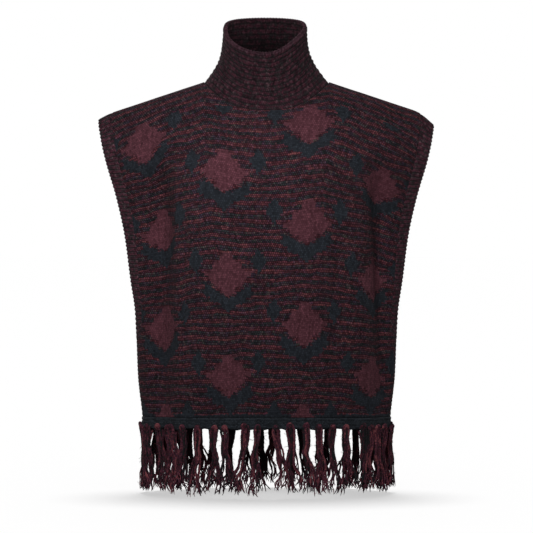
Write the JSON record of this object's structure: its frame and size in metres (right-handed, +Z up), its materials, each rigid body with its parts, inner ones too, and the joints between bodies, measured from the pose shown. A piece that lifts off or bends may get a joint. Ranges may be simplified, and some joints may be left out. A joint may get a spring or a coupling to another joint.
{
  "type": "knit cape",
  "caption": "Sleeveless knit cape in its worn, hollow form, with a funnel neck, ribbed armhole bands and a fringed hem.",
  "frame": {"origin": "on the wearer's centre line between the shoulders, at the height where the shoulder seams meet the collar", "axes": "+Z up, -Y the way the front faces, +X towards the wearer's left"},
  "size_m": [0.6266, 0.2173, 0.8879],
  "materials": {
    "body_knit": "matt chunky ridged wool knit, space-dyed wine red and near black",
    "rib_knit": "matt ribbed wool knit, dusty plum ridges over dark grooves",
    "fringe_yarn": "plied space-dyed wool yarn on a dark teal border"
  },
  "bodies": {
    "root": {"front_panel": "body_knit", "back_panel": "body_knit", "collar": "rib_knit", "armhole_band_right": "rib_knit", "armhole_band_left": "rib_knit", "hem_fringe_front": "fringe_yarn", "hem_fringe_back": "fringe_yarn"}
  },
  "joints": []
}
